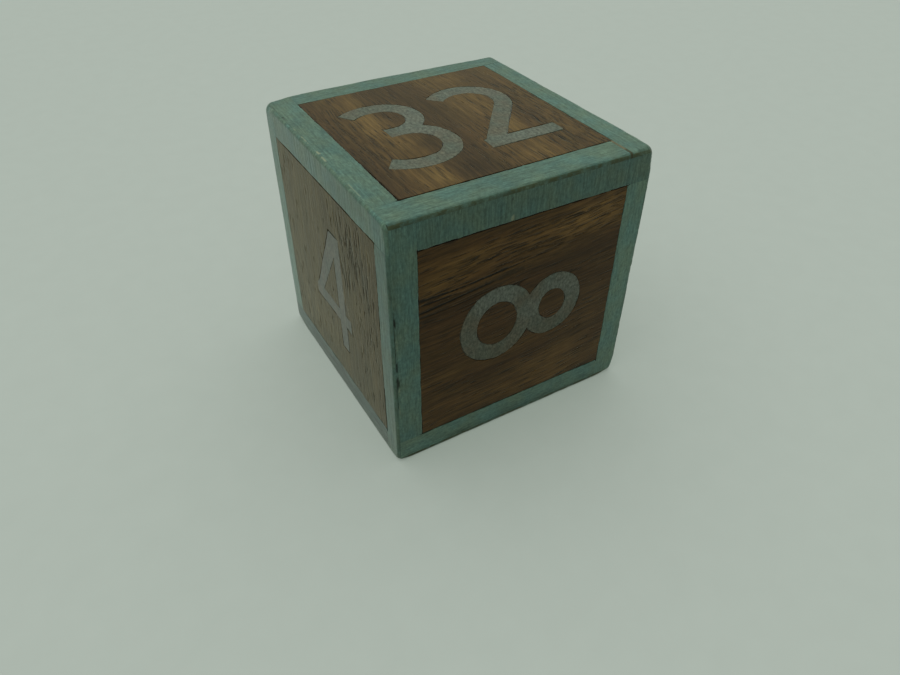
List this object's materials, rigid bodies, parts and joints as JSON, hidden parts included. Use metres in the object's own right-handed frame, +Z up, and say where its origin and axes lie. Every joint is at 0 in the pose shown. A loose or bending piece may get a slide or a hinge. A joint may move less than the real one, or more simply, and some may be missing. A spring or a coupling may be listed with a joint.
{
  "type": "doubling cube",
  "caption": "Wooden cube faced with walnut marquetry, with dyed borders and inlaid numbers 2, 4, 8, 16, 32 and 64.",
  "frame": {"origin": "centre of the bottom face, which the cube stands on", "axes": "+Z up through the face numbered 32; -Y out of the front face numbered 8; -X out of the left face numbered 4"},
  "size_m": [0.03, 0.03, 0.03],
  "materials": {
    "core_wood": "raw beech, hidden inside",
    "walnut_veneer": "open-pored walnut veneer, sanded, dull satin",
    "teal_veneer": "veneer dyed through in grey-teal, sanded, satin",
    "grey_veneer": "veneer dyed silver-grey, faintly mottled, satin",
    "wood_filler": "dry tan wood putty"
  },
  "bodies": {
    "root": {"core_block": "core_wood", "joint_filler": "wood_filler", "panel_32": "walnut_veneer", "strip_32_left": "teal_veneer", "strip_32_top": "teal_veneer", "strip_32_right": "teal_veneer", "strip_32_bottom": "teal_veneer", "digit_3_of_32": "grey_veneer", "digit_2_of_32": "grey_veneer", "panel_64": "walnut_veneer", "strip_64_left": "teal_veneer", "strip_64_top": "teal_veneer", "strip_64_right": "teal_veneer", "strip_64_bottom": "teal_veneer", "digit_6_of_64": "grey_veneer", "counter_6_of_64": "walnut_veneer", "digit_4_of_64": "grey_veneer", "counter_4_of_64": "walnut_veneer", "panel_4": "walnut_veneer", "strip_4_left": "teal_veneer", "strip_4_top": "teal_veneer", "strip_4_right": "teal_veneer", "strip_4_bottom": "teal_veneer", "digit_4_of_4": "grey_veneer", "counter_4_of_4": "walnut_veneer", "panel_16": "walnut_veneer", "strip_16_left": "teal_veneer", "strip_16_top": "teal_veneer", "strip_16_right": "teal_veneer", "strip_16_bottom": "teal_veneer", "digit_1_of_16": "grey_veneer", "digit_6_of_16": "grey_veneer", "counter_6_of_16": "walnut_veneer", "panel_8": "walnut_veneer", "strip_8_left": "teal_veneer", "strip_8_top": "teal_veneer", "strip_8_right": "teal_veneer", "strip_8_bottom": "teal_veneer", "digit_8_of_8": "grey_veneer", "counter_8_of_8_large": "walnut_veneer", "counter_8_of_8_small": "walnut_veneer", "panel_2": "walnut_veneer", "strip_2_left": "teal_veneer", "strip_2_top": "teal_veneer", "strip_2_right": "teal_veneer", "strip_2_bottom": "teal_veneer", "digit_2_of_2": "grey_veneer"}
  },
  "joints": []
}
